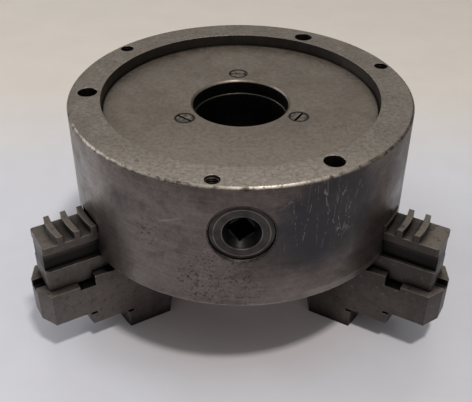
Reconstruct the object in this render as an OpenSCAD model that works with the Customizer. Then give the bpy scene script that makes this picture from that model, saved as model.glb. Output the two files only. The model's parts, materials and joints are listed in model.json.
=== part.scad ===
/* [Body] */
// Outer diameter of the chuck body
body_d = 203.2; // [200:0.1:206]
// Height of the body, front face to rear rim
body_h = 78.3; // [77:0.1:82]
// Diameter of the locating register in the rear
register_d = 165.1; // [164:0.1:168]
// Depth of the register, rear rim to back cover
register_depth = 7.3; // [6:0.1:8]
// Bore through the body hub
hub_bore_d = 55.4; // [50:0.1:56]
// Outside diameter of the hub that carries the scroll
hub_d = 92; // [91:0.1:93]
// Bevel at the rear outer edge
rear_bevel = 1.3; // [0.5:0.1:2]
// Bevel at the front outer edge
front_bevel = 1; // [0.5:0.1:2]

/* [Mounting] */
// Pitch circle of the three mounting holes
mount_pcd = 181; // [179:0.1:183]
// Diameter of the mounting holes
mount_hole_d = 11.6; // [9:0.1:12]
// Counterbore for the mounting bolt heads, in the front face
mount_head_d = 18; // [16:0.1:19]
// Azimuth from a pinion to the next mounting hole
mount_offset = 31.4; // [28:0.1:32]

/* [Back cover] */
// Thickness of the back cover
cover_t = 8.6; // [7:0.1:10]
// Bore of the back cover
cover_bore_d = 57.15; // [56:0.01:58]
// Pitch circle of the three cover screws
cover_screw_pcd = 76.2; // [74:0.1:78]
// Head diameter of a cover screw
cover_screw_head_d = 10.4; // [9:0.1:11]

/* [Scroll] */
// Pitch of the scroll thread, which is the jaw travel in one turn
pitch = 10; // [9.8:0.1:10.2]
// Width of the thread ridge
ridge_w = 5.3; // [5:0.1:5.4]
// Height of the thread ridge and of the jaw teeth
thread_h = 5; // [4:0.1:5]
// Outside diameter of the scroll
scroll_d = 158; // [157:0.1:159]

/* [Pinions] */
// Height of the pinion axes above the front face
pinion_h = 49.3; // [48.5:0.1:50]
// Shank diameter of a pinion
shank_d = 35.1; // [34:0.1:36]
// Width of the square key socket
socket_w = 11.1; // [9:0.1:12]
// Distance of a retaining screw from the chuck axis
retainer_r = 95.25; // [95:0.05:96]
// Azimuth from a retaining screw to its pinion
retainer_offset = 8.9; // [8.6:0.1:9.2]

/* [Master jaws] */
// Width of a master jaw
master_w = 22.7; // [22:0.1:23]
// Width of the neck between the guide grooves
neck_w = 16.9; // [15:0.1:18]
// Outer end of the master jaws, from the chuck axis
master_out_r = 133.9; // [131:0.1:136]
// Inner end of the master jaws, from the chuck axis
master_in_r = 58; // [57:0.1:59]
// Teeth on a master jaw
jaw_teeth = 7; // [5:1:7]

/* [Top jaws] */
// Width of a top jaw
top_w = 32.4; // [30:0.1:34]
// Outer end of the top jaws, from the chuck axis
top_out_r = 140; // [138:0.1:142]
// Point of the inner vee, from the chuck axis
top_vee_r = 52; // [51:0.1:56]
// Thread size of the jaw screws
jaw_screw_d = 12; // [10:1:12]

/* [Hidden] */
$fn = 96;
body_r = body_d / 2;
hub_r = hub_d / 2;
PINION_AZ = [30, 150, 270];
JAW_AZ = [90, 210, 330];
SCREW_AZ = [91.7, 211.7, 331.7];
// how far a cutting shape runs past a face
past = 1;

// heights above the front face
cover_z = body_h - register_depth - cover_t;
root_z = 19.1;
lip_z = 14.2;
ledge_z = 1.8;
thread_gap = 0.3;
thread_z = root_z + thread_gap;
disc_z = thread_z + thread_h;
slot_top_z = disc_z;
seat_out_z = -12.5;
seat_in_z = -7.3;
key_land_z = -8.2;
cross_floor_z = -14.9;
level1_z = -35;
level2_z = -44.2;
level3_z = -58.1;

// clearances
fit_gap = 0.05;
slide_gap = 0.1;
pocket_gap = 0.45;
hole_gap = 0.02;
head_gap = 0.5;

// body details
seat_r = 82;
cavity_r = 80;
hub_rear_bevel = 0.4;
hub_front_bevel = 1;
slot_in_r = 8;
pinion_bore_in_r = 72;
mount_head_depth = 12;
GAUGE_RINGS = [60, 80];
ring_groove_w = 0.8;
ring_groove_depth = 0.4;

// back cover and cover screws
cover_bore_bevel = 1.2;
cover_edge_bevel = 0.3;
thrust_slot_w = 20;
cover_screw_r = 3;
cover_screw_hole_r = 3.25;
cover_screw_sunk = 0.1;
cover_slot_w = 1.5;
cover_slot_depth = 1.6;
head_rim = 0.5;
tap_depth = 16;
tap_end = 2;

// scroll and bevel gear
crown_teeth = 66;
pinion_teeth = 11;
scroll_r = scroll_d / 2;
gear_ratio = crown_teeth / pinion_teeth;
gear_out_r = 78.5;
gear_in_r = 66;
crown_in_r = 65.5;
crown_add = 1.3;
pinion_add = 2.5;
root_gap = 0.4;
backlash = 0.28;
pressure = 20;
web_top = 33;
gap_length = 30;
collar_r = 56;
collar_top = 41.5;
thread_out_a = 324;
thread_in_a = 1266;
thread_step = 6;
thread_mid_offset = 4.5;

// jaw teeth
tooth_r0 = 130.23;
tooth_t = 3.7;
tooth_outer_flank = 50;
tooth_inner_flank = 80;
tooth_skew = 1.55;
tooth_reach = 12;

// pinion shape along its own axis, from the chuck axis
shank_r = shank_d / 2;
pinion_face = 100.2;
shank_in = 80.5;
head_flat_r = 14.7;
face_bevel = 0.8;
mouth_r = 10.5;
mouth_depth = 4.6;
socket_depth = 20;
socket_turn = 37;
mouth_slope = 0.8;
neck_r = 7;
pilot_r = 5;
pilot_in = 37;
pilot_bevel = 0.5;
hub_clearance = 0.3;
retain_groove_w = 6.4;
retain_groove_r = 11.6;
dog_r = 2.7;
retainer_screw_r = 4.15;
retainer_top = 70;
retainer_shoulder = 63.6;
retainer_tip = 44;
retainer_slot_w = 1.2;
retainer_slot_depth = 1.4;

// master jaw shape
end_bevel = 1;
inner_bevel = 1.5;

// top jaw shape
step1_r = 113.5;
step2_r = 90.4;
key_out_r = 107.8;
cross_out_r = 117.3;
land_in_r = 95;
end_flat_w = 11.3;
end_corner_r = 134.5;
relief_depth = 3.2;
relief_h = 1.8;
cross_key_r = 88;
cross_key_w = 9.9;
cross_key_h = 2.8;
long_slot_w = 8;
long_slot_depth = 4.5;
vee_flat_w = 5;
vee_angle = 30;

// jaw screws
screw_r = jaw_screw_d / 2;
head_r = jaw_screw_d * 0.75;
outer_screw_at = 126;
inner_screw_at = 76;
outer_head_z = -21.5;
inner_head_z = -44;
screw_tip_z = 8;
hex_flats = jaw_screw_d * 5 / 6;

// Places parts drawn with the front face at zero so that the rear rim is at zero.
module from_rear() {
  translate([0, 0, -body_h])
    children();
}

// A box that is centred across Y, given by its ends along X and Z.
module bar(x0, x1, w, z0, z1) {
  translate([x0, -w / 2, z0])
    cube([x1 - x0, w, z1 - z0]);
}

// Turns children to each azimuth of a list.
module at_each(azimuths) {
  for (a = azimuths)
    rotate([0, 0, a])
      children();
}

// A cylinder lying along X.
module round_bar(x0, x1, r) {
  translate([x0, 0, 0])
    rotate([0, 90, 0])
      cylinder(h = x1 - x0, r = r);
}

// ---- body ----
module body_section() {
  polygon([
    [hub_bore_d / 2 + hub_front_bevel, 0],
    [body_r - front_bevel, 0],
    [body_r, front_bevel],
    [body_r, body_h - rear_bevel],
    [body_r - rear_bevel, body_h],
    [register_d / 2, body_h],
    [register_d / 2, body_h - register_depth],
    [seat_r, body_h - register_depth],
    [seat_r, cover_z],
    [cavity_r, cover_z],
    [cavity_r, root_z],
    [hub_r, root_z],
    [hub_r, cover_z],
    [hub_bore_d / 2 + hub_rear_bevel, cover_z],
    [hub_bore_d / 2, cover_z - hub_rear_bevel],
    [hub_bore_d / 2, hub_front_bevel]
  ]);
}

module jaw_slot() {
  out_r = body_r + past;
  wide = master_w + 2 * slide_gap;
  bar(slot_in_r, out_r, wide, -past, ledge_z + slide_gap);
  bar(slot_in_r, out_r, neck_w + 2 * slide_gap, -past, slot_top_z);
  bar(slot_in_r, out_r, wide, lip_z - slide_gap, slot_top_z);
}

module pinion_bore() {
  translate([0, 0, pinion_h]) {
    round_bar(pinion_bore_in_r, body_r + past, shank_r + fit_gap);
    round_bar(pilot_in - past, hub_r + past, pilot_r + fit_gap);
  }
}

module mount_hole() {
  translate([mount_pcd / 2, 0, -past]) {
    cylinder(h = body_h + 2 * past, d = mount_hole_d);
    cylinder(h = mount_head_depth + past, d = mount_head_d);
  }
}

module retainer_hole() {
  translate([retainer_r, 0, retainer_tip - past])
    cylinder(h = body_h, r = retainer_screw_r + fit_gap);
}

module gauge_ring(r) {
  translate([0, 0, -past])
    rotate_extrude()
      translate([r - ring_groove_w / 2, 0])
        square([ring_groove_w, past + ring_groove_depth]);
}

module chuck_body() {
  color("dimgray")
    from_rear()
      difference() {
        rotate_extrude()
          body_section();
        at_each(JAW_AZ)
          jaw_slot();
        at_each(PINION_AZ)
          pinion_bore();
        at_each([for (a = PINION_AZ) a + mount_offset])
          mount_hole();
        at_each([for (a = PINION_AZ) a - retainer_offset])
          retainer_hole();
        at_each(SCREW_AZ)
          translate([cover_screw_pcd / 2, 0, cover_z - tap_depth])
            cylinder(h = tap_depth + past, r = cover_screw_r + hole_gap);
        for (r = GAUGE_RINGS)
          gauge_ring(r);
      }
}

// ---- back cover and its screws ----
module countersink(grow) {
  rim_r = cover_screw_head_d / 2 + grow;
  cone_h = rim_r - cover_screw_r;
  translate([0, 0, body_h - register_depth - head_rim]) {
    cylinder(h = head_rim + past, r = rim_r);
    translate([0, 0, -cone_h])
      cylinder(h = cone_h, r1 = cover_screw_r, r2 = rim_r);
  }
}

module cover_section() {
  top = body_h - register_depth;
  polygon([
    [cover_bore_d / 2, cover_z],
    [seat_r - fit_gap, cover_z],
    [seat_r - fit_gap, top - cover_edge_bevel],
    [seat_r - fit_gap - cover_edge_bevel, top],
    [cover_bore_d / 2 + cover_bore_bevel, top],
    [cover_bore_d / 2, top - cover_bore_bevel]
  ]);
}

// Ring under the cover, which holds the scroll down, open at each pinion.
module thrust_ring() {
  difference() {
    translate([0, 0, collar_top + thread_gap])
      cylinder(h = cover_z - collar_top, r = collar_r);
    translate([0, 0, collar_top])
      cylinder(h = cover_z, r = hub_r + head_gap);
    at_each(PINION_AZ)
      bar(hub_r - past, collar_r + past, thrust_slot_w, collar_top, pinion_h + neck_r + 2);
  }
}

module back_cover() {
  color("gray")
    from_rear()
      difference() {
        union() {
          rotate_extrude()
            cover_section();
          thrust_ring();
        }
        at_each(PINION_AZ)
          translate([0, 0, pinion_h])
            round_bar(gear_in_r - past, seat_r + past, shank_r + pocket_gap);
        at_each(SCREW_AZ)
          translate([cover_screw_pcd / 2, 0, 0]) {
            countersink(hole_gap);
            translate([0, 0, cover_z - past])
              cylinder(h = cover_t, r = cover_screw_hole_r);
          }
      }
}

module cover_screw(azimuth, turn) {
  top = body_h - register_depth;
  color("darkgray")
    from_rear()
      rotate([0, 0, azimuth])
        translate([cover_screw_pcd / 2, 0, 0])
          difference() {
            union() {
              intersection() {
                countersink(0);
                cylinder(h = top - cover_screw_sunk, d = cover_screw_head_d);
              }
              translate([0, 0, cover_z - tap_depth + tap_end])
                cylinder(h = tap_depth - tap_end + cover_t - head_rim, r = cover_screw_r);
            }
            rotate([0, 0, turn - azimuth])
              bar(-cover_screw_head_d, cover_screw_head_d, cover_slot_w,
                  top - cover_screw_sunk - cover_slot_depth, top + past);
          }
}

// ---- scroll ----
function thread_mid(a) = tooth_r0 - thread_mid_offset * pitch - pitch * a / 360;
function polar(r, a) = [r * cos(a), r * sin(a)];
THREAD_ANGLES = [for (a = [thread_out_a:thread_step:thread_in_a]) a];
THREAD_OUTLINE = concat(
  [for (a = THREAD_ANGLES) polar(thread_mid(a) + ridge_w / 2, a)],
  [for (i = [len(THREAD_ANGLES) - 1:-1:0])
    polar(thread_mid(THREAD_ANGLES[i]) - ridge_w / 2, THREAD_ANGLES[i])]
);

function pitch_line(r) = pinion_h - r / gear_ratio;

module scroll_section() {
  polygon([
    [hub_r + fit_gap, disc_z],
    [scroll_r, disc_z],
    [scroll_r, pitch_line(scroll_r) + crown_add],
    [crown_in_r, pitch_line(crown_in_r) + crown_add],
    [crown_in_r - 1, web_top],
    [collar_r, web_top],
    [collar_r, collar_top],
    [hub_r + fit_gap, collar_top]
  ]);
}

// One gap of the crown gear, along the slope of the pitch cone.
module crown_gap() {
  half = PI * gear_out_r / crown_teeth / 2 + backlash / 2;
  up = crown_add + past;
  down = pinion_add + root_gap;
  translate([0, 0, pinion_h])
    rotate([0, atan(1 / gear_ratio), 0])
      translate([collar_r, 0, 0])
        rotate([90, 0, 90])
          linear_extrude(height = gap_length)
            polygon([
              [-half - up * tan(pressure), up],
              [-half + down * tan(pressure), -down],
              [half - down * tan(pressure), -down],
              [half + up * tan(pressure), up]
            ]);
}

module scroll_plate() {
  color("slategray")
    from_rear() {
      difference() {
        rotate_extrude()
          scroll_section();
        at_each([for (k = [0:crown_teeth - 1]) (k + 0.5) * 360 / crown_teeth])
          crown_gap();
      }
      translate([0, 0, thread_z])
        linear_extrude(height = thread_h)
          polygon(THREAD_OUTLINE);
    }
}

// ---- pinions ----
pinion_pitch_r = gear_out_r / gear_ratio;
pinion_base_r = pinion_pitch_r * cos(pressure);
pinion_tip_r = pinion_pitch_r + pinion_add;
pinion_root_r = pinion_pitch_r - crown_add - root_gap;
half_at_pitch = 90 / pinion_teeth - backlash / 2 / pinion_pitch_r * 180 / PI;

function involute(a) = tan(a) * 180 / PI - a;
function flank_angle(r) = half_at_pitch + involute(pressure) - involute(acos(min(1, pinion_base_r / r)));
FLANK = [for (i = [0:4]) pinion_base_r + (pinion_tip_r - pinion_base_r) * i / 4];

module pinion_outline() {
  polygon([
    for (k = [0:pinion_teeth - 1])
      let (mid = k * 360 / pinion_teeth)
        each concat(
          [polar(pinion_root_r, mid - flank_angle(pinion_base_r))],
          [for (r = FLANK) polar(r, mid - flank_angle(r))],
          [for (i = [4:-1:0]) polar(FLANK[i], mid + flank_angle(FLANK[i]))],
          [polar(pinion_root_r, mid + flank_angle(pinion_base_r))]
        )
  ]);
}

module pinion_section() {
  groove_mid = retainer_r * cos(retainer_offset);
  polygon([
    [0, pilot_in],
    [pilot_r - pilot_bevel, pilot_in],
    [pilot_r, pilot_in + pilot_bevel],
    [pilot_r, hub_r + hub_clearance],
    [neck_r, hub_r + hub_clearance],
    [neck_r, gear_out_r],
    [head_flat_r, shank_in - 1],
    [shank_r, shank_in],
    [shank_r, groove_mid - retain_groove_w / 2],
    [retain_groove_r, groove_mid - retain_groove_w / 2],
    [retain_groove_r, groove_mid + retain_groove_w / 2],
    [shank_r, groove_mid + retain_groove_w / 2],
    [shank_r, pinion_face - face_bevel],
    [head_flat_r, pinion_face],
    [0, pinion_face]
  ]);
}

module pinion(azimuth) {
  color("gray")
    from_rear()
      rotate([0, 0, azimuth])
        translate([0, 0, pinion_h])
          difference() {
            union() {
              rotate([0, 90, 0])
                rotate_extrude()
                  pinion_section();
              translate([gear_out_r, 0, 0])
                rotate([0, -90, 0])
                  rotate([0, 0, 180])
                    linear_extrude(height = gear_out_r - gear_in_r, scale = gear_in_r / gear_out_r)
                      pinion_outline();
            }
            translate([pinion_face - mouth_depth, 0, 0])
              rotate([0, 90, 0])
                cylinder(h = mouth_depth + 0.01, r1 = mouth_r - mouth_depth * mouth_slope, r2 = mouth_r);
            rotate([socket_turn, 0, 0])
              bar(pinion_face - socket_depth, pinion_face + past, socket_w, -socket_w / 2, socket_w / 2);
          }
}

module pinion_retainer(azimuth) {
  color("darkslategray")
    from_rear()
      rotate([0, 0, azimuth - retainer_offset])
        translate([retainer_r, 0, 0])
          difference() {
            union() {
              translate([0, 0, retainer_tip])
                cylinder(h = retainer_top - retainer_tip - retainer_slot_depth, r = dog_r);
              translate([0, 0, retainer_shoulder])
                cylinder(h = retainer_top - retainer_shoulder, r = retainer_screw_r);
            }
            bar(-shank_r, shank_r, retainer_slot_w, retainer_top - retainer_slot_depth, retainer_top + past);
          }
}

// ---- jaws ----
module jaw_tooth(at) {
  intersection() {
    translate([at, 0, 0])
      rotate([0, 0, tooth_skew])
        difference() {
          translate([tooth_t / 2 - tooth_outer_flank, 0, root_z - past])
            cylinder(h = thread_h + past, r = tooth_outer_flank);
          translate([-tooth_t / 2 - tooth_inner_flank, 0, root_z - 2 * past])
            cylinder(h = thread_h + 4 * past, r = tooth_inner_flank);
        }
    bar(at - tooth_reach, at + tooth_reach, master_w, root_z - past, root_z + thread_h);
  }
}

module master_section() {
  half = master_w / 2;
  neck = neck_w / 2;
  polygon([
    [-half, seat_out_z], [half, seat_out_z],
    [half, ledge_z], [neck, ledge_z], [neck, lip_z], [half, lip_z],
    [half, root_z], [-half, root_z],
    [-half, lip_z], [-neck, lip_z], [-neck, ledge_z], [-half, ledge_z]
  ]);
}

module master_plan() {
  half = master_w / 2;
  polygon([
    [master_in_r, -half + inner_bevel], [master_in_r + inner_bevel, -half],
    [master_out_r - end_bevel, -half], [master_out_r, -half + end_bevel],
    [master_out_r, half - end_bevel], [master_out_r - end_bevel, half],
    [master_in_r + inner_bevel, half], [master_in_r, half - inner_bevel]
  ]);
}

module master_jaw(azimuth) {
  color("dimgray")
    from_rear()
      rotate([0, 0, azimuth]) {
        difference() {
          intersection() {
            translate([master_in_r, 0, 0])
              rotate([90, 0, 90])
                linear_extrude(height = master_out_r - master_in_r)
                  master_section();
            translate([0, 0, seat_out_z])
              linear_extrude(height = root_z - seat_out_z)
                master_plan();
          }
          bar(master_in_r - past, key_out_r + slide_gap, master_w + past, seat_out_z - past, seat_in_z);
          bar(cross_key_r - cross_key_w / 2 - slide_gap, cross_key_r + cross_key_w / 2 + slide_gap,
              master_w + past, seat_in_z - past, seat_in_z + cross_key_h + slide_gap);
          for (x = [outer_screw_at, inner_screw_at])
            translate([x, 0, seat_out_z - past])
              cylinder(h = screw_tip_z - seat_out_z + 3 * past, r = screw_r + hole_gap);
        }
        for (k = [0:jaw_teeth - 1])
          jaw_tooth(tooth_r0 - pitch * azimuth / 360 - k * pitch);
      }
}

module top_plan() {
  half = top_w / 2;
  side_in = top_vee_r + half * tan(vee_angle);
  vee_in = top_vee_r + vee_flat_w / 2 * tan(vee_angle);
  polygon([
    [vee_in, -vee_flat_w / 2], [side_in, -half], [end_corner_r, -half],
    [top_out_r, -end_flat_w / 2], [top_out_r, end_flat_w / 2],
    [end_corner_r, half], [side_in, half], [vee_in, vee_flat_w / 2]
  ]);
}

// Everything outside a radius between two heights.
module outside(r, z0, z1) {
  difference() {
    bar(0, top_out_r + past, top_w + past, z0, z1);
    translate([0, 0, z0 - past])
      cylinder(h = z1 - z0 + 2 * past, r = r);
  }
}

// Takes away the upper side of a top jaw between two radii, down to a height.
module upper_cut(x0, x1, z) {
  bar(x0, x1, top_w + past, z, 0);
}

// Hole for a jaw screw, with the recess for its head from below.
module screw_hole(at, seat) {
  translate([at, 0, level3_z - past]) {
    cylinder(h = -level3_z, r = screw_r + head_gap);
    cylinder(h = seat - level3_z + past, r = head_r + head_gap);
  }
}

module top_jaw(azimuth) {
  out_r = top_out_r + past;
  color("dimgray")
    from_rear()
      rotate([0, 0, azimuth])
        difference() {
          translate([0, 0, level3_z])
            linear_extrude(height = seat_in_z + cross_key_h - level3_z)
              top_plan();
          // upper side: key, inner land, clearance land, cross slot and outer land
          upper_cut(0, cross_key_r - cross_key_w / 2, seat_in_z);
          upper_cut(cross_key_r + cross_key_w / 2, out_r, seat_in_z);
          upper_cut(land_in_r, out_r, key_land_z);
          upper_cut(key_out_r, out_r, seat_out_z);
          upper_cut(key_out_r, cross_out_r, cross_floor_z);
          bar(cross_out_r - past, out_r, long_slot_w, seat_out_z - long_slot_depth, 0);
          // under side: two curved steps with reliefs at their roots
          outside(step1_r, level3_z - past, level1_z);
          outside(step2_r, level3_z - past, level2_z);
          outside(step1_r - relief_depth, level1_z - relief_h, level1_z);
          outside(step2_r - relief_depth, level2_z - relief_h, level2_z);
          screw_hole(outer_screw_at, outer_head_z);
          screw_hole(inner_screw_at, inner_head_z);
        }
}

module jaw_screw(azimuth, at, seat) {
  head_h = jaw_screw_d;
  color("darkslategray")
    from_rear()
      rotate([0, 0, azimuth])
        translate([at, 0, 0])
          difference() {
            union() {
              translate([0, 0, seat - head_h])
                cylinder(h = head_h, r = head_r);
              translate([0, 0, seat - past])
                cylinder(h = screw_tip_z - seat + past, r = screw_r);
            }
            translate([0, 0, seat - head_h - past])
              cylinder(h = head_h / 2 + past, r = hex_flats / sqrt(3), $fn = 6);
          }
}

chuck_body();
back_cover();
cover_screw(SCREW_AZ[0], 0);  // cover_screw_1
cover_screw(SCREW_AZ[1], -40);  // cover_screw_2
cover_screw(SCREW_AZ[2], 60);  // cover_screw_3
scroll_plate();
pinion(PINION_AZ[0]);  // pinion_1
pinion(PINION_AZ[1]);  // pinion_2
pinion(PINION_AZ[2]);  // pinion_3
pinion_retainer(PINION_AZ[0]);  // pinion_retainer_1
pinion_retainer(PINION_AZ[1]);  // pinion_retainer_2
pinion_retainer(PINION_AZ[2]);  // pinion_retainer_3
master_jaw(JAW_AZ[0]);  // master_jaw_1
master_jaw(JAW_AZ[1]);  // master_jaw_2
master_jaw(JAW_AZ[2]);  // master_jaw_3
top_jaw(JAW_AZ[0]);  // top_jaw_1
top_jaw(JAW_AZ[1]);  // top_jaw_2
top_jaw(JAW_AZ[2]);  // top_jaw_3
jaw_screw(JAW_AZ[0], outer_screw_at, outer_head_z);  // jaw_screw_outer_1
jaw_screw(JAW_AZ[1], outer_screw_at, outer_head_z);  // jaw_screw_outer_2
jaw_screw(JAW_AZ[2], outer_screw_at, outer_head_z);  // jaw_screw_outer_3
jaw_screw(JAW_AZ[0], inner_screw_at, inner_head_z);  // jaw_screw_inner_1
jaw_screw(JAW_AZ[1], inner_screw_at, inner_head_z);  // jaw_screw_inner_2
jaw_screw(JAW_AZ[2], inner_screw_at, inner_head_z);  // jaw_screw_inner_3
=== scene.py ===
import json
import math

import bpy
from mathutils import Matrix, Vector


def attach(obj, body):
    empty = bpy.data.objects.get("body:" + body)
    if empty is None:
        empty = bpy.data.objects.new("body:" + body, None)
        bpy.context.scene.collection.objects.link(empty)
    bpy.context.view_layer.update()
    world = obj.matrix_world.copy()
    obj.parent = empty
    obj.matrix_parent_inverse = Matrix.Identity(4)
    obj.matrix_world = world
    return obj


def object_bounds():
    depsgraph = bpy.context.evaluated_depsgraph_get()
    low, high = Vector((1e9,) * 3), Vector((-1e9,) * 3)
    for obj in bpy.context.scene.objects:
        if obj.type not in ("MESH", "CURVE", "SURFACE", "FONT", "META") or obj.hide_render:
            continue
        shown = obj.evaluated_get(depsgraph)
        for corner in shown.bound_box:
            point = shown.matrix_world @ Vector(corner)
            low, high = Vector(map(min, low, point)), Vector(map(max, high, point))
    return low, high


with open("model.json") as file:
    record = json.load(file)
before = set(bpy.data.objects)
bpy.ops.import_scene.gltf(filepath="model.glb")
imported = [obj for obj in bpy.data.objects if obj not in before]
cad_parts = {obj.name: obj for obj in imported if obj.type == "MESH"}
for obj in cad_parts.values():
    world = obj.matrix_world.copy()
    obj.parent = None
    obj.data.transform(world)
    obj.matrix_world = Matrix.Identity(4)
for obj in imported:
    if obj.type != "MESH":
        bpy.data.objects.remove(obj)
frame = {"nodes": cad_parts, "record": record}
CAD_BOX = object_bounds()

MM = 0.001
BODY_R = 101.6 * MM
HOLE_AZ = (21.1, 141.1, 261.1)  # small tapped holes in the rear rim
HOLE_CIRCLE_R = 95.25 * MM
HOLE_R = 4.2 * MM
THREAD_R = 3.55 * MM  # crest of the thread in those holes
THREAD_PITCH = 1.3 * MM
SCREW_AZ = (91.7, 211.7, 331.7)  # screws of the back cover
SCREW_CIRCLE_R = 38.1 * MM
PINION_AZ = (30, 150, 270)
PINION_Z_MM = -29.0
MOUTH_R_MM = 10.5  # mouth of a key socket
FLAT_R_MM = 14.7  # flat face of a pinion
JAW_AZ = (90, 210, 330)
FLOOR_Z = CAD_BOX[0].z
FLOOR_HALF = 3.0
# near black, painted as shade in the cover bore, the jaw grooves, the cross slots and the screw slots
SHADE_BLACK = (0.012, 0.010, 0.009)

# the photo's camera: metres, degrees and a 36 mm sensor
CAMERA_AT = (-0.00509, -0.39393, 0.2020)
CAMERA_YAW, CAMERA_PITCH, CAMERA_ROLL = 0.388, 35.643, 0.308
CAMERA_LENS = 56.3
LIGHT_TARGET = Vector((0, 0, -0.05))
LIGHTS = (  # name, position, size, power, colour
    ("overhead", (0.3, -0.6, 1.6), (0.2, 0.15), 18, (1.0, 0.965, 0.92)),
    ("left_window", (-1.5, 0.5, 0.8), (0.9, 0.9), 12, (0.93, 0.96, 1.0)),
)


def polar(radius, azimuth, z):
    """A point from its distance to the chuck axis, its azimuth in degrees and its height."""
    a = math.radians(azimuth)
    return Vector((radius * math.cos(a), radius * math.sin(a), z))


def on_side(azimuth, z_mm):
    """A point on the outside of the body."""
    return polar(BODY_R, azimuth, z_mm * MM)


# ---- shader building ----
class Graph:
    """The nodes of one material. Its coordinates are the object's own, in millimetres."""

    def __init__(self, name):
        self.material = bpy.data.materials.new(name)
        self.material.use_nodes = True
        self.tree = self.material.node_tree
        self.tree.nodes.clear()
        coords = self.node("ShaderNodeTexCoord")
        self.mm = self.vector("MULTIPLY", coords.outputs["Object"], (1 / MM, 1 / MM, 1 / MM))
        self.x, self.y, self.z = self.split(self.mm)
        self.nz = self.split(coords.outputs["Normal"])[2]
        self.radius = self.vector("LENGTH", self.combine(self.x, self.y, 0.0))

    def node(self, kind, **settings):
        made = self.tree.nodes.new(kind)
        for key, value in settings.items():
            setattr(made, key, value)
        return made

    def put(self, socket, value):
        if isinstance(value, bpy.types.NodeSocket):
            self.tree.links.new(value, socket)
        else:
            socket.default_value = value

    def math(self, operation, a, b=0.0, c=0.0):
        made = self.node("ShaderNodeMath", operation=operation)
        for socket, value in zip(made.inputs, (a, b, c)):
            self.put(socket, value)
        return made.outputs[0]

    def vector(self, operation, a, b=(0, 0, 0)):
        made = self.node("ShaderNodeVectorMath", operation=operation)
        self.put(made.inputs[0], a)
        self.put(made.inputs[1], b)
        return made.outputs[1 if operation in ("DISTANCE", "LENGTH", "DOT_PRODUCT") else 0]

    def split(self, where):
        made = self.node("ShaderNodeSeparateXYZ")
        self.put(made.inputs[0], where)
        return made.outputs

    def combine(self, x, y, z):
        made = self.node("ShaderNodeCombineXYZ")
        for socket, value in zip(made.inputs, (x, y, z)):
            self.put(socket, value)
        return made.outputs[0]

    def stretched(self, sx, sy, sz):
        """The millimetre coordinates, scaled along each axis."""
        return self.vector("MULTIPLY", self.mm, (sx, sy, sz))

    def noise(self, where, scale=1.0, detail=3.0, roughness=0.55, distortion=0.0):
        made = self.node("ShaderNodeTexNoise")
        self.put(made.inputs["Vector"], where)
        made.inputs["Scale"].default_value = scale
        made.inputs["Detail"].default_value = detail
        made.inputs["Roughness"].default_value = roughness
        made.inputs["Distortion"].default_value = distortion
        return made.outputs[0]

    def cell_edges(self, where, scale):
        made = self.node("ShaderNodeTexVoronoi", feature="DISTANCE_TO_EDGE")
        self.put(made.inputs["Vector"], where)
        made.inputs["Scale"].default_value = scale
        made.inputs["Randomness"].default_value = 1.0
        return made.outputs["Distance"]

    def span(self, value, low, high, out_low=0.0, out_high=1.0):
        """Maps low..high smoothly to out_low..out_high."""
        made = self.node("ShaderNodeMapRange", interpolation_type="SMOOTHSTEP")
        for socket, v in zip(made.inputs, (value, low, high, out_low, out_high)):
            self.put(socket, v)
        return made.outputs[0]

    def patch(self, centre, reach, soft, ragged=0.0):
        """1 near a point given in metres, falling to 0 beyond reach millimetres, with a ragged outline."""
        away = self.vector("DISTANCE", self.mm, tuple(c / MM for c in centre))
        if ragged:
            wobble = self.noise(self.mm, 0.12, 4)
            away = self.math("ADD", away, self.math("MULTIPLY_ADD", wobble, ragged, -ragged / 2))
        return self.span(away, reach + soft / 2, reach - soft / 2)

    def near(self, value, centre, reach):
        """1 where a value is at a centre, falling to 0 at reach from it."""
        return self.span(self.math("ABSOLUTE", self.math("SUBTRACT", value, centre)), reach, 0.0)

    def inverse(self, value):
        return self.math("SUBTRACT", 1.0, value)

    def along(self, azimuth):
        """How far a point lies out along an azimuth, in millimetres."""
        a = math.radians(azimuth)
        return self.math("ADD", self.times(self.x, math.cos(a)), self.times(self.y, math.sin(a)))

    def across(self, azimuth):
        """How far a point lies to the left of an azimuth, in millimetres."""
        a = math.radians(azimuth)
        return self.math("SUBTRACT", self.times(self.y, math.cos(a)), self.times(self.x, math.sin(a)))

    def from_pinion_axis(self, azimuth):
        above = self.math("SUBTRACT", self.z, PINION_Z_MM)
        return self.vector("LENGTH", self.combine(self.across(azimuth), above, 0.0))

    def from_cover_screw(self, azimuth):
        centre = tuple(c / MM for c in polar(SCREW_CIRCLE_R, azimuth, 0))
        return self.vector("DISTANCE", self.combine(self.x, self.y, 0.0), centre)

    def times(self, *values):
        made = values[0]
        for value in values[1:]:
            made = self.math("MULTIPLY", made, value)
        return made

    def mix(self, factor, a, b):
        """Colour a where factor is 0 and b where it is 1."""
        made = self.node("ShaderNodeMix", data_type="RGBA")
        self.put(made.inputs[0], factor)
        for socket, value in ((made.inputs[6], a), (made.inputs[7], b)):
            self.put(socket, (*value, 1) if isinstance(value, tuple) else value)
        return made.outputs[2]

    def shade(self, colour, factor):
        """A colour made lighter or darker by a factor."""
        return self.vector("MULTIPLY", colour, self.combine(factor, factor, factor))

    def worn_edge(self, radius):
        """The normal rounded over a small radius, and how near a sharp edge is, from 0 to 1."""
        bevel = self.node("ShaderNodeBevel", samples=6)
        bevel.inputs["Radius"].default_value = radius
        geometry = self.node("ShaderNodeNewGeometry")
        dot = self.vector("DOT_PRODUCT", bevel.outputs[0], geometry.outputs["Normal"])
        ragged = self.noise(self.mm, 0.5, 4)
        turned_away = self.times(self.inverse(dot), self.span(ragged, 0.3, 0.62, 0.35, 1.5))
        return bevel.outputs[0], self.span(turned_away, 0.02, 0.2)

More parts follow.
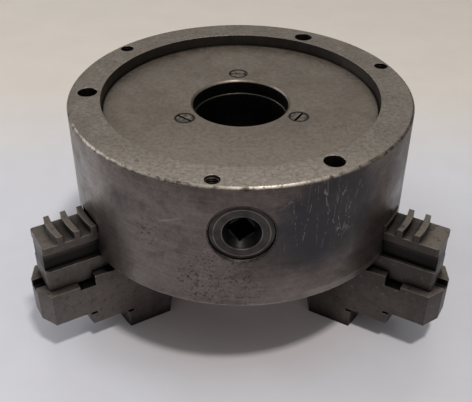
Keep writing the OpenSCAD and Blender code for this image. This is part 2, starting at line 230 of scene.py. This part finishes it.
    def painted_crevice_shade(self, reach, darkest, shut=0.3, open_=0.85):
        """A factor that darkens corners, slots and holes by ambient occlusion: painted shade."""
        hollow = self.node("ShaderNodeAmbientOcclusion", samples=8)
        hollow.inputs["Distance"].default_value = reach
        return self.span(hollow.outputs["AO"], shut, open_, darkest, 1.0)

    def bump(self, height, distance, normal):
        made = self.node("ShaderNodeBump")
        made.inputs["Distance"].default_value = distance
        made.inputs["Strength"].default_value = 1.0
        self.put(made.inputs["Height"], height)
        self.put(made.inputs["Normal"], normal)
        return made.outputs[0]

    def metal(self, colour, roughness, normal, metallic=0.9):
        shader = self.node("ShaderNodeBsdfPrincipled")
        self.put(shader.inputs["Base Color"], colour)
        self.put(shader.inputs["Roughness"], roughness)
        self.put(shader.inputs["Normal"], normal)
        shader.inputs["Metallic"].default_value = metallic
        output = self.node("ShaderNodeOutputMaterial")
        self.put(output.inputs["Surface"], shader.outputs[0])
        return self.material


def scratches(g, turn, scale, width, keep):
    """Straight broken scratches on the side of the body: thin cell borders, cut into pieces."""
    along = g.node("ShaderNodeMapping")
    g.put(along.inputs["Vector"], g.combine(g.x, g.z, 0.0))
    along.inputs["Rotation"].default_value = (0, 0, math.radians(turn))
    along.inputs["Scale"].default_value = (1.0, 0.12, 1.0)
    line = g.span(g.cell_edges(along.outputs[0], scale), width, 0.0)
    pieces = g.span(g.noise(g.mm, 0.13 + 0.002 * turn, 2), keep, keep + 0.03)
    return g.times(line, pieces)


def body_steel():
    g = Graph("body_steel_worn")
    rounded, wear = g.worn_edge(0.7 * MM)
    rear = g.span(g.nz, 0.75, 0.95)
    radius = g.radius
    outside = g.span(radius, 100.0, 101.4)
    inside = g.inverse(outside)

    fine = g.noise(g.mm, 1.6, 5, 0.7)
    cloud = g.noise(g.mm, 0.055, 5, 0.6, 0.6)
    blotch = g.noise(g.mm, 0.25, 4, 0.6)
    specks = g.noise(g.mm, 0.75, 3, 0.7)
    mottle = g.noise(g.mm, 0.42, 6, 0.75)

    # ground rear rim, lighter towards the front
    rim = g.mix(g.span(cloud, 0.3, 0.7), (0.255, 0.222, 0.188), (0.32, 0.282, 0.242))
    toward_front = g.span(g.math("ADD", g.y, g.math("MULTIPLY_ADD", cloud, 60.0, -30.0)), -52, -100)
    rim = g.mix(toward_front, rim, (0.42, 0.37, 0.32))
    rim = g.mix(g.times(g.span(blotch, 0.54, 0.72), 0.7), rim, (0.19, 0.163, 0.138))
    rim = g.shade(rim, g.span(fine, 0.3, 0.7, 0.82, 1.16))
    rim = g.shade(rim, g.span(mottle, 0.32, 0.66, 0.72, 1.2))
    rim = g.mix(g.times(g.span(specks, 0.62, 0.7), 0.45), rim, (0.12, 0.1, 0.085))
    drag = g.math("ADD", g.math("MULTIPLY", g.x, 0.39), g.y)
    dragged = g.times(g.near(drag, -97.98, 0.55), g.span(g.x, -5, 2), g.span(g.x, 40, 32))
    dragged = g.times(dragged, g.span(mottle, 0.35, 0.5))
    rim = g.mix(g.times(dragged, rear, 0.55), rim, (0.1, 0.085, 0.072))
    rim_pits = g.span(g.noise(g.mm, 0.9, 2, 0.5), 0.71, 0.75)
    rim = g.mix(g.times(rim_pits, rear, 0.7), rim, (0.07, 0.058, 0.05))

    # turned side with patina and painted highlights
    turned = g.noise(g.stretched(0.02, 0.02, 2.2), 1.0, 4, 0.65)
    broad = g.noise(g.stretched(0.012, 0.012, 0.5), 1.0, 3, 0.5)
    stain = g.noise(g.stretched(0.045, 0.045, 0.07), 1.0, 5, 0.68, 0.9)
    grain = g.noise(g.mm, 0.55, 4, 0.7)
    side = g.mix(g.span(cloud, 0.25, 0.75), (0.078, 0.062, 0.056), (0.135, 0.111, 0.1))
    # painted highlight: the side lighter towards the left
    lit = g.span(g.x, -25, -100)
    side = g.mix(g.times(lit, 0.75), side, (0.235, 0.202, 0.182))
    # painted highlight: a lighter patch on the front left of the side
    highlight_patch = g.patch(on_side(250, -42), 34, 26, 18)
    side = g.mix(g.times(highlight_patch, 0.5), side, (0.2, 0.17, 0.155))
    low = g.times(g.span(g.z, -48, -70), g.span(g.x, -50, -10), g.span(g.x, 60, 20))
    side = g.mix(g.times(low, 0.45), side, (0.2, 0.165, 0.15))
    side = g.mix(g.times(g.span(stain, 0.5, 0.68), 0.42), side, (0.085, 0.062, 0.05))
    side = g.mix(g.times(g.span(stain, 0.46, 0.32), 0.3), side, (0.19, 0.165, 0.152))
    side = g.shade(side, g.span(mottle, 0.32, 0.68, 0.88, 1.11))
    side = g.shade(side, g.span(turned, 0.25, 0.75, 0.84, 1.15))
    side = g.shade(side, g.span(broad, 0.3, 0.7, 0.94, 1.06))
    side = g.shade(side, g.span(grain, 0.3, 0.7, 0.92, 1.08))
    # dark bluish patches on the side
    dark_patches = ((298, -25, 30, 0.75), (287, -36, 22, 0.6), (230, -21, 5, 0.7))
    for azimuth, height, reach, strength in dark_patches:
        darkened = g.patch(on_side(azimuth, height), reach, 20, 16)
        side = g.mix(g.times(darkened, strength), side, (0.034, 0.033, 0.038))
    burnished = g.times(g.span(g.z, -72, -73.5), g.span(g.x, 28, 42), g.span(grain, 0.35, 0.5, 0.6, 1.0))
    side = g.mix(g.times(burnished, 0.6), side, (0.27, 0.23, 0.205))
    pit_patches = ((264, -63, 24), (242, -36, 9), (255, -60, 9), (60, -50, 22), (170, -40, 24))
    for azimuth, height, reach in pit_patches:
        pitted = g.times(g.patch(on_side(azimuth, height), reach, 14, 14), g.span(grain, 0.52, 0.62))
        side = g.mix(g.times(pitted, 0.78), side, (0.036, 0.028, 0.025))
    # painted highlight: a thin light line along the front of the lower edge, broken up by noise
    highlight_breaks = g.span(mottle, 0.34, 0.5, 0.3, 1.0)
    lower_edge_highlight = g.times(g.span(g.z, -76.6, -77.5), g.span(g.y, -30, -70), highlight_breaks)
    side = g.mix(g.times(lower_edge_highlight, 0.75), side, (0.4, 0.35, 0.315))
    for azimuth in PINION_AZ:
        ahead = g.span(g.along(azimuth), 0, 10)
        bore_edge = g.times(g.span(g.from_pinion_axis(azimuth), 18.5, 17.9), ahead)
        side = g.mix(bore_edge, side, (0.014, 0.011, 0.010))
    marked = g.patch(on_side(296, -19), 24, 12, 12)
    lines = g.times(scratches(g, 72, 0.1, 0.010, 0.52), marked)
    for turn, scale, keep in ((64, 0.07, 0.53), (-4, 0.09, 0.53), (-9, 0.06, 0.52)):
        lines = g.math("MAXIMUM", lines, g.times(scratches(g, turn, scale, 0.009, keep), marked))
    faint = g.patch(on_side(247, -22), 14, 8, 6)
    lines = g.math("MAXIMUM", lines, g.times(scratches(g, -78, 0.06, 0.006, 0.46), faint, 0.8))
    stray = g.times(scratches(g, -14, 0.03, 0.004, 0.6), 0.4)
    lines = g.math("MAXIMUM", lines, stray)
    side = g.mix(g.times(lines, 0.5), side, (0.3, 0.28, 0.27))

    # register wall and the insides of the holes: painted shade, with painted light on the thread of the
    # front hole
    upright = g.span(g.math("ABSOLUTE", g.nz), 0.6, 0.4)
    rim = g.mix(g.times(upright, inside), rim, (0.036, 0.030, 0.026))
    joint = g.times(g.span(radius, 83.2, 82.7), g.span(radius, 80.0, 81.0), g.span(g.z, -6.0, -7.0))
    rim = g.mix(joint, rim, (0.016, 0.013, 0.011))
    in_hole = g.times(g.span(radius, 83.5, 84.0), g.span(radius, 100.0, 99.7), g.span(g.z, -0.35, -1.0))
    lit_thread = g.patch(polar(HOLE_CIRCLE_R, HOLE_AZ[2], -3 * MM), 6, 2)
    rim = g.mix(in_hole, rim, g.mix(lit_thread, (0.016, 0.013, 0.011), (0.13, 0.11, 0.092)))
    # painted shade: the hub bore darker, near black further down
    hub = g.span(radius, 50, 40)
    rim = g.mix(hub, rim, (0.05, 0.042, 0.036))
    rim = g.mix(g.times(hub, g.span(g.z, -16.3, -16.9)), rim, (0.010, 0.008, 0.008))

    colour = g.mix(outside, rim, side)
    sheltered = g.math("MAXIMUM", in_hole, g.math("MAXIMUM", hub, joint))
    # edge wear, with painted highlight making it stronger towards the front
    wear_and_front_highlight = g.times(wear, g.inverse(sheltered), g.span(g.y, 20, -70, 0.3, 0.55))
    colour = g.mix(wear_and_front_highlight, colour, (0.5, 0.45, 0.4))

    # rear outer bevel: painted highlight along the front, dull at the sides, with nicks
    bevelled = g.times(g.span(radius, 100.1, 100.4), g.span(g.z, -1.7, -1.3))
    burr = g.noise(g.mm, 0.35, 4, 0.65)
    front_highlight = g.times(g.span(g.y, -66, -94), g.span(burr, 0.34, 0.58), g.span(g.z, -1.25, -0.75))
    dull = g.mix(g.span(burr, 0.4, 0.6), (0.1, 0.082, 0.068), (0.22, 0.192, 0.165))
    colour = g.mix(bevelled, colour, g.mix(front_highlight, dull, (0.31, 0.278, 0.245)))
    nicks = ((271, 1.5), (92, 1.4), (60, 1.1), (112, 1.2),
             (248, 0.8), (296, 0.9), (221, 0.9), (318, 0.8))
    for azimuth, size in nicks:
        nick = g.patch(on_side(azimuth, -0.7), size, 0.7, 0.8)
        colour = g.mix(g.times(nick, 0.85), colour, (0.05, 0.04, 0.033))
    # painted shade in corners and holes
    colour = g.shade(colour, g.painted_crevice_shade(9 * MM, 0.2))

    rough_rim = g.span(blotch, 0.3, 0.7, 0.38, 0.5)
    rough_side = g.span(stain, 0.3, 0.7, 0.3, 0.46)
    roughness = g.math("ADD", g.times(rough_rim, inside), g.times(rough_side, outside))
    height = g.math("ADD", g.times(fine, 0.5), g.times(turned, outside, 0.8))
    height = g.math("SUBTRACT", height, g.times(rim_pits, rear, 2.0))
    height = g.math("SUBTRACT", height, g.times(lines, outside, 1.5))
    return g.metal(colour, roughness, g.bump(height, 0.012 * MM, rounded), 0.9)


def cover_steel():
    g = Graph("cover_steel_satin")
    rounded, wear = g.worn_edge(0.5 * MM)
    cloud = g.noise(g.mm, 0.035, 5, 0.6, 0.8)
    blotch = g.noise(g.mm, 0.2, 4, 0.65)
    fine = g.noise(g.mm, 2.2, 4, 0.7)
    radius = g.radius
    rings = g.noise(g.combine(radius, 0.0, 0.0), 1.2, 2, 0.5)
    mottle = g.noise(g.mm, 0.4, 6, 0.75)
    colour = g.mix(g.span(cloud, 0.3, 0.7), (0.212, 0.18, 0.148), (0.268, 0.23, 0.192))
    colour = g.mix(g.span(g.y, -20, -75), colour, (0.3, 0.255, 0.212))
    colour = g.mix(g.span(blotch, 0.58, 0.76), colour, (0.165, 0.139, 0.115))
    colour = g.shade(colour, g.span(fine, 0.3, 0.7, 0.88, 1.11))
    colour = g.shade(colour, g.span(mottle, 0.32, 0.66, 0.86, 1.13))
    colour = g.shade(colour, g.span(rings, 0.3, 0.7, 0.97, 1.03))
    colour = g.mix(g.times(wear, g.span(radius, 36, 34), 0.3), colour, (0.27, 0.238, 0.202))
    colour = g.shade(colour, g.span(radius, 30.2, 29.6, 1.0, 0.62))
    colour = g.shade(colour, g.span(radius, 81.0, 81.8, 1.0, 0.2))
    # painted shade: the bore wall of the cover near black
    colour = g.mix(g.times(g.span(radius, 30.0, 28.9), g.span(g.z, -8.2, -8.9)), colour, SHADE_BLACK)
    for azimuth in SCREW_AZ:
        colour = g.shade(colour, g.span(g.from_cover_screw(azimuth), 5.5, 6.7, 0.05, 1.0))
    # painted shade in corners and holes
    colour = g.shade(colour, g.painted_crevice_shade(5 * MM, 0.3))
    roughness = g.span(blotch, 0.3, 0.7, 0.4, 0.52)
    height = g.math("ADD", fine, g.times(rings, 0.6))
    return g.metal(colour, roughness, g.bump(height, 0.01 * MM, rounded), 0.88)


def jaw_steel():
    g = Graph("jaw_steel_dull")
    rounded, wear = g.worn_edge(0.5 * MM)
    cloud = g.noise(g.mm, 0.06, 5, 0.6, 0.5)
    blotch = g.noise(g.mm, 0.3, 4, 0.6)
    fine = g.noise(g.mm, 1.8, 5, 0.7)
    up = g.span(g.nz, 0.6, 0.95)
    colour = g.mix(g.span(cloud, 0.3, 0.7), (0.078, 0.066, 0.06), (0.125, 0.108, 0.098))
    # painted shade: the sides of the jaw on the right darker
    right_side_shade = g.times(g.span(g.x, 5, 60), g.inverse(up), g.span(g.z, -104, -88, 0.3, 1.0))
    colour = g.mix(g.times(right_side_shade, 0.7), colour, (0.048, 0.041, 0.038))
    colour = g.mix(g.times(up, 0.65), colour, (0.2, 0.172, 0.146))
    low = g.times(g.span(g.z, -90, -100), g.inverse(up), g.span(g.x, -10, -60))
    colour = g.mix(g.times(low, 0.6), colour, (0.155, 0.128, 0.124))
    # painted light: the tops of the jaw on the right lighter
    colour = g.mix(g.times(up, g.span(g.x, 20, 90), 0.4), colour, (0.3, 0.262, 0.222))
    colour = g.mix(g.times(g.span(blotch, 0.52, 0.72), 0.75), colour, (0.055, 0.046, 0.041))
    colour = g.mix(g.times(g.span(blotch, 0.42, 0.28), 0.35), colour, (0.21, 0.185, 0.165))
    colour = g.shade(colour, g.span(fine, 0.3, 0.7, 0.82, 1.15))
    colour = g.mix(g.times(wear, 0.55), colour, (0.33, 0.295, 0.26))
    first, second, third = (g.math("ABSOLUTE", g.across(azimuth)) for azimuth in JAW_AZ)
    aside = g.math("MINIMUM", first, g.math("MINIMUM", second, third))
    # painted shade: the guide grooves near black
    groove = g.times(g.span(aside, 9.4, 8.8), g.span(g.z, -64.0, -70.5), g.span(g.z, -77.0, -76.6))
    colour = g.mix(g.times(groove, 0.93), colour, SHADE_BLACK)
    # painted shade: the cross slots near black
    cross_slot = g.times(up, g.near(g.z, -93.2, 0.7))
    colour = g.mix(g.times(cross_slot, 0.9), colour, SHADE_BLACK)
    # painted shade in corners and slots
    colour = g.shade(colour, g.painted_crevice_shade(12 * MM, 0.07, 0.4, 0.93))
    roughness = g.span(cloud, 0.3, 0.7, 0.4, 0.56)
    return g.metal(colour, roughness, g.bump(fine, 0.014 * MM, rounded), 0.85)


def pinion_steel(azimuth):
    """Turned steel; rings and dirt follow the axis of the pinion, which lies along an azimuth."""
    g = Graph(f"pinion_steel_{azimuth}")
    rounded, wear = g.worn_edge(0.4 * MM)
    fine = g.noise(g.mm, 1.8, 4, 0.7)
    cloud = g.noise(g.mm, 0.15, 4, 0.6)
    along = g.along(azimuth)
    radius = g.from_pinion_axis(azimuth)
    rings = g.noise(g.combine(radius, 0.0, 0.0), 2.4, 3, 0.6)
    colour = g.mix(g.span(cloud, 0.3, 0.7), (0.036, 0.030, 0.028), (0.066, 0.057, 0.053))
    colour = g.shade(colour, g.span(fine, 0.3, 0.7, 0.85, 1.12))
    colour = g.shade(colour, g.span(rings, 0.3, 0.7, 0.85, 1.15))
    # painted highlights: thin light rings on the outer and inner edge of the pinion's face
    outer = g.times(g.near(radius, FLAT_R_MM, 0.45), g.span(along, 99.4, 99.9))
    inner = g.times(g.near(radius, MOUTH_R_MM, 0.4), g.span(along, 99.2, 99.7))
    edge_highlights = g.times(g.math("MAXIMUM", outer, inner), g.span(cloud, 0.3, 0.6, 0.25, 0.9))
    colour = g.mix(edge_highlights, colour, (0.2, 0.18, 0.165))
    colour = g.shade(colour, g.span(radius, 16.7, 17.3, 1.0, 0.12))
    # painted shade: the key socket near black
    mouth = g.times(g.span(radius, MOUTH_R_MM - 0.15, MOUTH_R_MM - 0.4), g.span(along, 90.0, 95.0))
    colour = g.mix(g.times(mouth, 0.95), colour, (0.009, 0.008, 0.008))
    colour = g.mix(g.times(wear, g.inverse(mouth), 0.4), colour, (0.36, 0.32, 0.29))
    # painted shade in corners
    colour = g.shade(colour, g.painted_crevice_shade(2.5 * MM, 0.3))
    roughness = g.span(cloud, 0.3, 0.7, 0.32, 0.45)
    height = g.math("ADD", fine, rings)
    return g.metal(colour, roughness, g.bump(height, 0.012 * MM, rounded), 0.9)


def scroll_steel():
    g = Graph("scroll_steel_oiled")
    rounded, wear = g.worn_edge(0.4 * MM)
    cloud = g.noise(g.mm, 0.1, 4, 0.6)
    rings = g.noise(g.combine(g.radius, 0.0, g.z), 1.5, 3, 0.6)
    colour = g.mix(g.span(cloud, 0.3, 0.7), (0.2, 0.185, 0.17), (0.3, 0.28, 0.26))
    colour = g.shade(colour, g.span(rings, 0.3, 0.7, 0.88, 1.1))
    colour = g.mix(g.times(wear, 0.6), colour, (0.5, 0.47, 0.43))
    roughness = g.span(cloud, 0.3, 0.7, 0.25, 0.4)
    return g.metal(colour, roughness, g.bump(rings, 0.01 * MM, rounded), 0.95)


def screw_steel():
    g = Graph("screw_steel_dark")
    rounded, wear = g.worn_edge(0.3 * MM)
    fine = g.noise(g.mm, 2.0, 4, 0.7)
    cloud = g.noise(g.mm, 0.5, 4, 0.6)
    colour = g.mix(g.span(cloud, 0.35, 0.65), (0.07, 0.058, 0.05), (0.17, 0.145, 0.125))
    heads = g.span(g.z, -7.75, -7.5)
    head_steel = g.mix(g.span(cloud, 0.4, 0.6), (0.13, 0.107, 0.088), (0.3, 0.26, 0.22))
    colour = g.mix(g.times(heads, 0.75), colour, head_steel)
    # painted shade: the slots near black
    slots = g.times(g.span(g.z, -7.45, -7.6), g.span(g.z, -20, -16))
    colour = g.mix(slots, colour, SHADE_BLACK)
    for azimuth in SCREW_AZ:
        gap = g.near(g.from_cover_screw(azimuth), 5.25, 1.1)
        colour = g.shade(colour, g.inverse(g.times(gap, 0.95)))
    colour = g.shade(colour, g.span(fine, 0.3, 0.7, 0.8, 1.15))
    colour = g.mix(g.times(wear, heads, 0.5), colour, (0.45, 0.41, 0.37))
    roughness = g.span(cloud, 0.3, 0.7, 0.34, 0.5)
    return g.metal(colour, roughness, g.bump(fine, 0.014 * MM, rounded), 0.88)


MATERIALS = {
    "body_steel": body_steel(),
    "cover_steel": cover_steel(),
    "jaw_steel": jaw_steel(),
    **{f"pinion_{i + 1}": pinion_steel(azimuth) for i, azimuth in enumerate(PINION_AZ)},
    "scroll_steel": scroll_steel(),
    "screw_steel": screw_steel(),
}


# ---- CAD nodes: materials and softened edges ----
def soften(obj, width):
    """Joins the vertices of neighbouring faces and rounds the sharp edges."""
    weld = obj.modifiers.new("join", "WELD")
    weld.merge_threshold = 0.002 * MM
    bevel = obj.modifiers.new("edges", "BEVEL")
    bevel.width = width
    bevel.segments = 2
    bevel.limit_method = "ANGLE"
    bevel.angle_limit = math.radians(35)
    bevel.use_clamp_overlap = True
    bevel.harden_normals = True


EDGE_MM = {"chuck_body": 0.3, "back_cover": 0.2, "scroll_plate": 0.2}
SMALL_EDGE_MM = 0.15
for row in frame["record"]["subparts"]:
    node = row["node"]
    obj = frame["nodes"][node]
    material = MATERIALS.get(node) or MATERIALS[row["material_slot"]]
    for slot in obj.material_slots:
        slot.material = material
    soften(obj, EDGE_MM.get(node, SMALL_EDGE_MM) * MM)


# ---- detail pieces ----
def make_piece(name, vertices, faces, slot, body):
    mesh = bpy.data.meshes.new(name)
    mesh.from_pydata([tuple(v) for v in vertices], [], faces)
    mesh.validate()
    made = bpy.data.objects.new(name, mesh)
    bpy.context.scene.collection.objects.link(made)
    for polygon in mesh.polygons:
        polygon.use_smooth = True
    mesh.materials.append(MATERIALS[slot])
    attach(made, body)
    return made


def thread_liner(name, centre, z_top, z_bottom):
    """An internal thread: a closed helical ridge whose crest points to the hole's axis."""
    outer, inner, pitch = HOLE_R, THREAD_R, THREAD_PITCH
    steps = 40
    run_in = 12
    turns = (z_top - z_bottom - pitch) / pitch
    count = int(turns * steps)
    vertices, faces = [], []
    for i in range(count + 1):
        a = 2 * math.pi * i / steps
        z = z_bottom + pitch / 2 + pitch * i / steps
        fade = min(1.0, i / run_in, (count - i) / run_in)
        crest = outer - (outer - inner) * fade
        for radius, dz in ((outer, -0.44), (crest, -0.07), (crest, 0.07), (outer, 0.44)):
            vertices.append(centre + Vector((radius * math.cos(a), radius * math.sin(a), z + dz * pitch)))
    for i in range(count):
        for j in range(4):
            k = (j + 1) % 4
            faces.append((i * 4 + j, i * 4 + k, i * 4 + 4 + k, i * 4 + 4 + j))
    last = count * 4
    faces.append((3, 2, 1, 0))
    faces.append((last, last + 1, last + 2, last + 3))
    return make_piece(name, vertices, faces, "body_steel", "chuck")


for i, azimuth in enumerate(HOLE_AZ):
    thread_liner(f"rim_thread_{i + 1}", polar(HOLE_CIRCLE_R, azimuth, 0), -0.4 * MM, -8.1 * MM)


# ---- stage ----
def stage_material():
    g = Graph("table_paper")
    far = g.span(g.math("ADD", g.y, g.times(g.noise(g.mm, 0.004, 2), 40)), 90, 330)
    colour = g.mix(far, (0.57, 0.572, 0.615), (0.605, 0.555, 0.5))
    # painted reflection: the table warmer under the chuck, as lit from the steel above it
    colour = g.mix(g.span(g.radius, 125, 55), colour, (0.56, 0.5, 0.51))
    faint = g.noise(g.mm, 0.02, 4, 0.6)
    colour = g.shade(colour, g.span(faint, 0.3, 0.7, 0.98, 1.02))
    shader = g.node("ShaderNodeBsdfPrincipled")
    g.put(shader.inputs["Base Color"], colour)
    shader.inputs["Roughness"].default_value = 0.25
    output = g.node("ShaderNodeOutputMaterial")
    g.put(output.inputs["Surface"], shader.outputs[0])
    return g.material


def add_floor():
    mesh = bpy.data.meshes.new("table")
    corners = [(FLOOR_HALF * x, FLOOR_HALF * y, 0) for x, y in ((-1, -1), (1, -1), (1, 1), (-1, 1))]
    mesh.from_pydata(corners, [], [(0, 1, 2, 3)])
    mesh.materials.append(stage_material())
    table = bpy.data.objects.new("table", mesh)
    table.location = (0, 0, FLOOR_Z)
    bpy.context.scene.collection.objects.link(table)


def area_light(name, position, size, power, colour):
    """A rectangular light that points at the middle of the chuck."""
    data = bpy.data.lights.new(name, "AREA")
    data.shape = "RECTANGLE"
    data.size, data.size_y = size
    data.energy = power
    data.color = colour
    light = bpy.data.objects.new(name, data)
    light.location = position
    light.rotation_euler = (LIGHT_TARGET - Vector(position)).to_track_quat("-Z", "Y").to_euler()
    bpy.context.scene.collection.objects.link(light)


def add_world():
    world = bpy.data.worlds.new("studio")
    bpy.context.scene.world = world
    world.use_nodes = True
    tree = world.node_tree
    tree.nodes.clear()
    coords = tree.nodes.new("ShaderNodeTexCoord")
    split = tree.nodes.new("ShaderNodeSeparateXYZ")
    ramp = tree.nodes.new("ShaderNodeValToRGB")
    background = tree.nodes.new("ShaderNodeBackground")
    output = tree.nodes.new("ShaderNodeOutputWorld")
    tree.links.new(coords.outputs["Generated"], split.inputs[0])
    tree.links.new(split.outputs[2], ramp.inputs[0])
    tree.links.new(ramp.outputs[0], background.inputs[0])
    tree.links.new(background.outputs[0], output.inputs[0])
    stops = ramp.color_ramp.elements
    stops[0].position, stops[0].color = 0.1, (0.13, 0.12, 0.11, 1)
    stops[1].position, stops[1].color = 0.75, (0.74, 0.73, 0.72, 1)
    background.inputs[1].default_value = 0.8


def add_camera():
    yaw, pitch, roll = (math.radians(a) for a in (CAMERA_YAW, CAMERA_PITCH, CAMERA_ROLL))
    forward = Vector((math.sin(yaw) * math.cos(pitch), math.cos(yaw) * math.cos(pitch), -math.sin(pitch)))
    level = Vector((math.cos(yaw), -math.sin(yaw), 0))
    upright = level.cross(forward)
    right = level * math.cos(roll) + upright * math.sin(roll)
    up = upright * math.cos(roll) - level * math.sin(roll)
    data = bpy.data.cameras.new("camera")
    data.sensor_width = 36
    data.lens = CAMERA_LENS
    data.clip_start = 0.01
    camera = bpy.data.objects.new("camera", data)
    turn = Matrix((right, up, -forward)).transposed()
    camera.matrix_world = Matrix.Translation(CAMERA_AT) @ turn.to_4x4()
    bpy.context.scene.collection.objects.link(camera)
    bpy.context.scene.camera = camera


add_floor()
add_world()
for light in LIGHTS:
    area_light(*light)
add_camera()

bpy.context.scene.view_settings.view_transform = "Standard"
